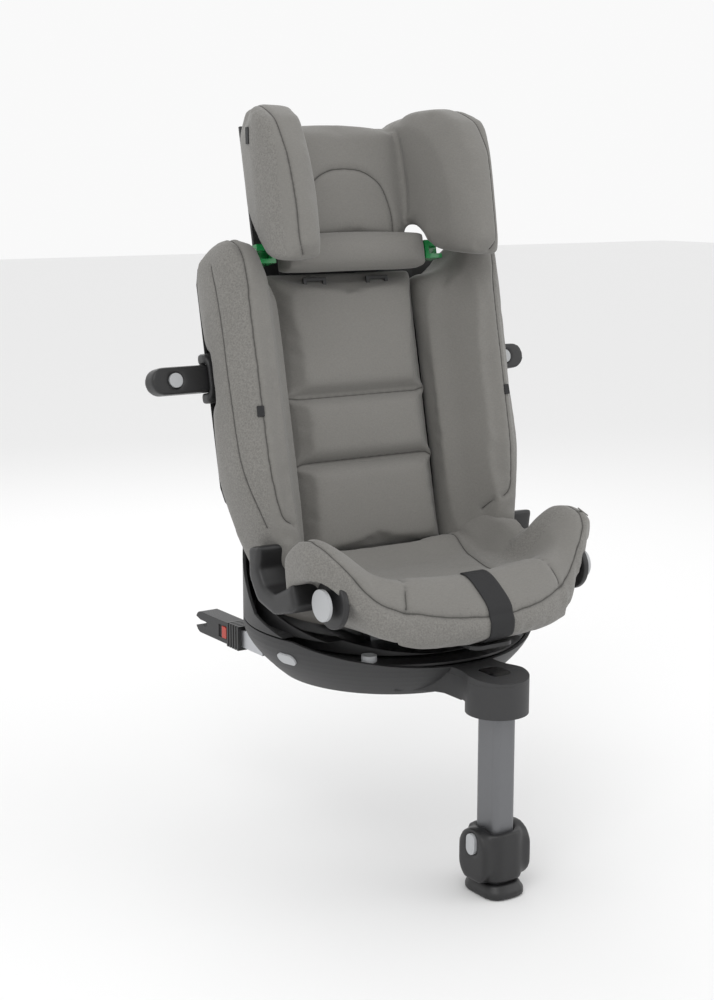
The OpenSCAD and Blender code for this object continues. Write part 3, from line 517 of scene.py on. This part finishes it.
def heightSolid(name, xs, ys, inside, top, bottom):
    # a closed solid between two height surfaces over the cells that are inside
    index, vertices, faces = {}, [], []

    def corner(i, j, level):
        key = (i, j, level)
        if key not in index:
            index[key] = len(vertices)
            x, y = xs[i], ys[j]
            vertices.append((x, y, (top if level else bottom)[i, j]))
        return index[key]

    nx, ny = len(xs) - 1, len(ys) - 1
    cells = inside[:-1, :-1] & inside[1:, :-1] & inside[:-1, 1:] & inside[1:, 1:]
    for i in range(nx):
        for j in range(ny):
            if not cells[i, j]:
                continue
            faces.append([corner(i, j, 1), corner(i + 1, j, 1),
                corner(i + 1, j + 1, 1), corner(i, j + 1, 1)])
            faces.append([corner(i, j, 0), corner(i, j + 1, 0),
                corner(i + 1, j + 1, 0), corner(i + 1, j, 0)])
            for a, b, di, dj in (((i, j), (i + 1, j), 0, -1), ((i + 1, j), (i + 1, j + 1), 1, 0),
                    ((i + 1, j + 1), (i, j + 1), 0, 1), ((i, j + 1), (i, j), -1, 0)):
                u, v = i + di, j + dj
                if not (0 <= u < nx and 0 <= v < ny and cells[u, v]):
                    faces.append([corner(*a, 0), corner(*b, 0), corner(*b, 1), corner(*a, 1)])
    return meshOf(name, vertices, faces)


def seatPad():
    step = seat["grid"]
    xs = np.arange(-0.219, 0.2191, step)
    ys = np.arange(-0.240, seat["rear"] + 1e-6, step)
    gx, gy = np.meshgrid(xs, ys, indexing="ij")
    armRear = -0.088
    half = np.where(gy < armRear, seat["halfWidth"], 0.163)
    inside = (gy > planFront(gx)) & (np.abs(gx) <= half)
    top = seatTop(gx, gy)
    low = np.minimum(seatBottom(gx, gy), top - 0.012)
    pad = heightSolid("seatPad", xs, ys, inside, top, low)
    softened(pad, seat["voxel"], 16, 0.0015)
    puffed(pad, 3.0, 0.006)
    applied(pad, "SUBSURF", levels=1, render_levels=1)
    return pad


pad = seatPad()
co = points(pad)
rimSide = [(-0.190, -0.098, 0.206), (-0.196, -0.125, 0.212), (-0.192, -0.152, 0.204), (-0.180, -0.172, 0.184),
    (-0.158, -0.190, 0.152), (-0.130, -0.206, 0.134), (-0.085, -0.226, 0.124), (-0.04, -0.236, 0.119)]
rimLine = curveThrough(rimSide + [(0, -0.239, 0.117)] + [(-x, y, z) for x, y, z in reversed(rimSide)])
rimGap = ((co[:, None, :2] - rimLine[None, ::4, :2]) ** 2).sum(2)
rimAt = rimLine[np.argmin(rimGap, 1) * 4]
outwards = np.maximum(np.abs(co[:, 0]) - np.abs(rimAt[:, 0]), rimAt[:, 1] - co[:, 1])
marked(pad, "outer", stepUp(outwards + (rimAt[:, 2] - co[:, 2]) * 0.4, -0.002, 0.002))
sewn(pad, rimLine, 0.0022, 0.005, "seat")
for s in (-1, 1):
    sewn(pad, curveThrough([(s * 0.113, 0.014, 0.150), (s * 0.103, -0.025, 0.142),
        (s * 0.095, -0.050, 0.138), (s * 0.075, -0.110, 0.134), (s * 0.070, -0.150, 0.146)]),
        0.0022, 0.006, "seat")
    sewn(pad, curveThrough([(s * 0.100, -0.165, 0.150), (s * 0.118, -0.208, 0.130)]), 0.0018, 0.005, "seat")
sewn(pad, curveThrough([(-0.112, -0.146, 0.146), (-0.06, -0.152, 0.146), (0, -0.154, 0.146),
    (0.06, -0.152, 0.146), (0.112, -0.146, 0.146)]), 0.0014, 0.006, "seat")
pad.data.shade_smooth()
settle(pad, "seat", "fabric")
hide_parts("seat_cushion", "arm_left", "arm_right")

# Elastic band draped over the thigh roll and the front lip
band = {"half": 0.018, "across": 13, "along": 60, "lift": 0.0009, "wall": 0.0012, "hub": (-0.190, 0.112)}


def elasticBand():
    tree = surfaceOf(pad)
    xs = np.linspace(-band["half"], band["half"], band["across"])
    vertices, middle = [], []
    for angle in np.linspace(math.radians(66), math.radians(238), band["along"]):
        away = Vector((0, math.cos(angle), math.sin(angle)))
        row = []
        for x in xs:
            start = Vector((x, band["hub"][0], band["hub"][1])) + away * 0.12
            hit = tree.ray_cast(start, -away)
            row.append((hit[0] - Vector((0, band["hub"][0], band["hub"][1]))).dot(away) if hit[0] else 0.03)
        reach = float(np.mean(row)) * 0.5
        for x, r in zip(xs, row):
            place = Vector((x, band["hub"][0], band["hub"][1])) + away * (r * 0.5 + reach + band["lift"])
            vertices.append(place)
        middle.append(vertices[-(band["across"] // 2) - 1])
    n = band["across"]
    faces = [(i * n + j, i * n + j + 1, (i + 1) * n + j + 1, (i + 1) * n + j)
        for i in range(band["along"] - 1) for j in range(n - 1)]
    strap = meshOf("frontBand", vertices, faces)
    applied(strap, "SMOOTH", factor=0.5, iterations=3)
    only(strap)
    bpy.ops.object.mode_set(mode="EDIT")
    bpy.ops.mesh.select_all(action="SELECT")
    bpy.ops.mesh.normals_make_consistent(inside=False)
    bpy.ops.object.mode_set(mode="OBJECT")
    applied(strap, "SOLIDIFY", thickness=band["wall"], offset=1)
    strap.data.shade_smooth()
    settle(strap, "seat", "near_black", finishes["webbing"])
    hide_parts("front_strap")
    length = sum((b - a).length for a, b in zip(middle, middle[1:]))
    print("band length", round(length, 4))


elasticBand()
print("seat pad done")


# Back cushion: three channels

back = {"half": 0.113, "seams": (111, 198), "voxel": 0.005, "top": 357}


def backPad():
    obj = fromNodes("backPad", ["back_cushion"])
    local = toBack(points(obj))
    local[:, 2] -= 12 * (1 - stepUp(local[:, 2], 0, 90))
    setPoints(obj, fromBack(local))
    softened(obj, back["voxel"], 5, 0.001)
    local = toBack(points(obj))
    held = np.zeros(len(local))
    for z in back["seams"]:
        held = np.maximum(held, np.exp(-((local[:, 2] - z) / 9) ** 2))
    held = np.maximum(held, stepUp(local[:, 1], 6, 14))
    puffed(obj, 5.0, 0.012, held)
    applied(obj, "SUBSURF", levels=1, render_levels=1)
    return obj


cushion = backPad()
local = toBack(points(cushion))
bulge = np.zeros(len(local))
edges = (0,) + back["seams"] + (back["top"],)
for low, high in zip(edges, edges[1:]):
    t = np.clip((local[:, 2] - low) / (high - low), 0, 1)
    bulge += np.where((local[:, 2] >= low) & (local[:, 2] < high), (4 * t * (1 - t)) ** 0.45, 0)
across = np.clip(1 - (np.abs(local[:, 0]) / 114) ** 4, 0, 1)
push = (bulge * across * 7 - 3) * stepUp(-local[:, 1], -12, -2)
co = points(cushion)
setPoints(cushion, co + push[:, None] * mm * np.array([[0, -math.cos(lean), math.sin(lean)]]))
for z in back["seams"]:
    sewn(cushion, curveThrough([onBack(x, -2, z) for x in (-109, -60, 0, 60, 109)]), 0.002, 0.004, "seat")
cushion.data.shade_smooth()
settle(cushion, "seat", "fabric")
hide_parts("back_cushion")
print("back cushion done")


# Side bolsters

def bolsterPad(side, nodeName):
    obj = fromNodes("bolster" + ("Left" if side > 0 else "Right"), [nodeName])
    applied(obj, "REMESH", mode="VOXEL", voxel_size=0.005)
    local = toBack(points(obj))
    # the lower end runs on down into the hip of the seat and draws in behind the belt guide
    lower = np.clip((110 - local[:, 2]) / (110 - local[:, 2].min()), 0, 1) ** 1.4
    outside = np.maximum(np.abs(local[:, 0]) - 150, 0)
    local[:, 2] -= 58 * lower
    local[:, 0] -= side * (outside * 0.72 * lower + 6 * (1 - stepUp(np.abs(local[:, 0]), 118, 140)))
    setPoints(obj, fromBack(local))
    softened(obj, 0.005, 10, 0.0)
    puffed(obj, 3.5, 0.007)
    applied(obj, "SUBSURF", levels=1, render_levels=1)
    local = toBack(points(obj))
    marked(obj, "outer", stepUp(np.abs(local[:, 0]) + local[:, 1] * 0.10, 180, 184))
    crest = ((150, -40, 30), (178, -74, 60), (188, -79, 130), (190, -80, 220), (190, -79, 300),
        (188, -72, 350), (186, -56, 378), (184, -30, 392), (180, 0, 390), (176, 20, 376))
    sewn(obj, curveThrough([onBack(side * x, y, z) for x, y, z in crest]), 0.002, 0.004, "seat")
    flank = ((200, -60, 40), (206, -44, 120), (208, -40, 220), (207, -38, 310), (204, -26, 362))
    sewn(obj, curveThrough([onBack(side * x, y, z) for x, y, z in flank]), 0.0014, 0.0035, "seat")
    obj.data.shade_smooth()
    settle(obj, "seat", "heather")
    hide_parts(nodeName)


bolsterPad(1, "bolster_left")
bolsterPad(-1, "bolster_right")
print("bolsters done")


# Headrest: wings and centre in one cover, with the neck pad below

def headPad():
    obj = fromNodes("headPad", ["headrest_centre", "headrest_wing_left", "headrest_wing_right"])
    softened(obj, 0.005, 12, 0.0)
    puffed(obj, 3.5, 0.008)
    applied(obj, "SUBSURF", levels=1, render_levels=1)
    local = toBack(points(obj))
    marked(obj, "outer", stepUp(np.abs(local[:, 0]) + (local[:, 1] + 100) * 0.30, 150, 154))
    arch = ((-66, 395), (-64, 430), (-52, 462), (-28, 478), (0, 482), (28, 478), (52, 462),
        (64, 430), (66, 395))
    sewn(obj, curveThrough([onBack(x, -26, z) for x, z in arch]), 0.0022, 0.0045, "headrest")
    wing = ((140, -128, 356), (150, -138, 380), (152, -142, 420), (152, -136, 480), (150, -116, 524),
        (146, -84, 546), (138, -44, 556), (126, -6, 557), (118, 18, 548))
    for s in (-1, 1):
        sewn(obj, curveThrough([onBack(s * x, y, z) for x, y, z in wing]), 0.002, 0.004, "headrest")
    obj.data.shade_smooth()
    settle(obj, "headrest", "fabric")
    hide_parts("headrest_centre", "headrest_wing_left", "headrest_wing_right")


def neckPad():
    obj = fromNodes("neckPad", ["neck_pad"])
    local = toBack(points(obj))
    local[:, 0] *= 1.07
    local[:, 2] += 12 * stepUp(local[:, 2], np.median(local[:, 2]), local[:, 2].max())
    setPoints(obj, fromBack(local))
    softened(obj, 0.004, 8, 0.0)
    puffed(obj, 4.0, 0.005)
    applied(obj, "SUBSURF", levels=1, render_levels=1)
    obj.data.shade_smooth()
    settle(obj, "headrest", "fabric")
    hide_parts("neck_pad")


headPad()
neckPad()
print("headrest done")


# Moulded pieces with full rounding

rounded = {"belt_guide_left": ("guideLoopLeft", 0.0022, 24),
    "belt_guide_right": ("guideLoopRight", 0.0022, 24),
    "side_pod_left": ("podLeft", 0.002, 16), "side_pod_right": ("podRight", 0.002, 16),
    "pod_bezel_left": ("podCollarLeft", 0.002, 12), "pod_bezel_right": ("podCollarRight", 0.002, 12),
    "foot_housing": ("legCatch", 0.0025, 18), "foot_pad": ("footSole", 0.0025, 12)}
bodyOf = {node: body for body, nodes in frame["record"]["behaviour"]["bodies"].items() for node in nodes}
for nodeName, (pieceName, voxel, passes) in rounded.items():
    piece = fromNodes(pieceName, [nodeName])
    softened(piece, voxel, passes, 0.0)
    piece.data.shade_smooth()
    settle(piece, bodyOf[nodeName], slotOf[nodeName])
    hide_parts(nodeName)
print("mouldings done")


# Seat pan: a revolved skin under the cover

pan = {"sides": 128, "centre": (0, -0.015), "rear": 0.0,
    "rings": [(0.060, 0.0845), (0.120, 0.0845), (0.146, 0.086), (0.165, 0.090), (0.177, 0.100),
    (0.184, 0.113), (0.186, 0.126), (0.184, 0.132), (0.176, 0.130), (0.162, 0.114), (0.140, 0.104),
    (0.060, 0.101)]}


def seatPan():
    bpy.ops.object.select_all(action="DESELECT")
    middle = (*pan["centre"], 0)
    first = pan["rings"][0]
    bpy.ops.mesh.primitive_circle_add(vertices=pan["sides"], radius=first[0], fill_type="NOTHING",
        location=(0, 0, 0))
    obj = bpy.context.object
    obj.name = "seatPan"
    bpy.ops.object.mode_set(mode="EDIT")
    bpy.ops.mesh.select_all(action="SELECT")
    bpy.ops.transform.translate(value=(middle[0], middle[1], first[1]))
    last = first
    for ring in pan["rings"][1:]:
        bpy.ops.mesh.extrude_region_move(TRANSFORM_OT_translate={"value": (0, 0, ring[1] - last[1])})
        scale = ring[0] / last[0]
        bpy.ops.transform.resize(value=(scale, scale, 1), center_override=(middle[0], middle[1], ring[1]))
        last = ring
    bpy.ops.mesh.select_all(action="SELECT")
    bpy.ops.mesh.select_all(action="DESELECT")
    bpy.ops.mesh.select_non_manifold()
    bpy.ops.mesh.bridge_edge_loops()
    bpy.ops.mesh.select_all(action="SELECT")
    bpy.ops.mesh.bisect(plane_co=(0, pan["rear"], 0), plane_no=(0, 1, 0), use_fill=True, clear_outer=True)
    bpy.ops.mesh.select_all(action="SELECT")
    bpy.ops.mesh.normals_make_consistent(inside=False)
    bpy.ops.object.mode_set(mode="OBJECT")
    applied(obj, "REMESH", mode="VOXEL", voxel_size=0.003)
    applied(obj, "SMOOTH", factor=0.5, iterations=8)
    obj.data.shade_smooth()
    settle(obj, "seat", "charcoal", finishes["taupe"])
    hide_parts("seat_shell")


seatPan()


def dishRound(side):
    # dark dish round the swivel disc
    bpy.ops.object.select_all(action="DESELECT")
    bpy.ops.mesh.primitive_cylinder_add(vertices=96, radius=0.030, depth=0.008, location=(0, 0, 0))
    obj = bpy.context.object
    obj.name = "dish" + ("Left" if side > 0 else "Right")
    turn = Matrix.Rotation(math.radians(90), 4, "Y")
    obj.data.transform(Matrix.Translation((side * 0.1806, -0.146, 0.134)) @ turn)
    applied(obj, "BEVEL", width=0.002, segments=3, limit_method="ANGLE")
    obj.data.shade_smooth()
    settle(obj, "seat", "near_black")


dishRound(1)
dishRound(-1)
print("seat pan done")


# Tabs and labels

def patch(name, host, near, size, body, slotName, finish, roll=0.0):
    # a small flat tab that lies on the host's surface nearest to a point
    place, out = surfaceOf(host).find_nearest(Vector(near))[:2]
    bpy.ops.object.select_all(action="DESELECT")
    turn = out.to_track_quat("Z", "Y").to_matrix().to_4x4() @ Matrix.Rotation(math.radians(roll), 4, "Z")
    bpy.ops.mesh.primitive_cube_add(size=1, location=(0, 0, 0))
    obj = bpy.context.object
    obj.name = name
    obj.data.transform(Matrix.Translation(place + out * size[2] * 0.3) @ turn @ Matrix.Diagonal((*size, 1)))
    applied(obj, "BEVEL", width=min(size) * 0.3, segments=2)
    settle(obj, body, slotName, finish)
    return obj


for s, host in ((-1, "bolsterRight"), (1, "bolsterLeft")):
    patch("bolsterTab" + ("Left" if s > 0 else "Right"), bpy.data.objects[host], onBack(s * 192, -84, 182),
        (0.009, 0.013, 0.003), "seat", "near_black", finishes["webbing"])
patch("sizeLabel", bpy.data.objects["headPad"], onBack(-168, -70, 512), (0.014, 0.020, 0.0012), "headrest",
    "near_black", finishes["webbing"])
patch("careTag", pad, (0.205, -0.140, 0.200), (0.004, 0.026, 0.0016), "seat", "fabric",
    finishes["fabric"], 40)
print("tabs done")


# Floor

bpy.ops.object.select_all(action="DESELECT")
low = min(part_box("foot_pad")[0].z, 0)
bpy.ops.mesh.primitive_plane_add(size=30, location=(0, 0, low))
floor = bpy.context.object
floor.name = "floor"
paper = Finish("studioPaper", (0.86, 0.86, 0.86), 0.9)
floor.data.materials.append(paper.material)
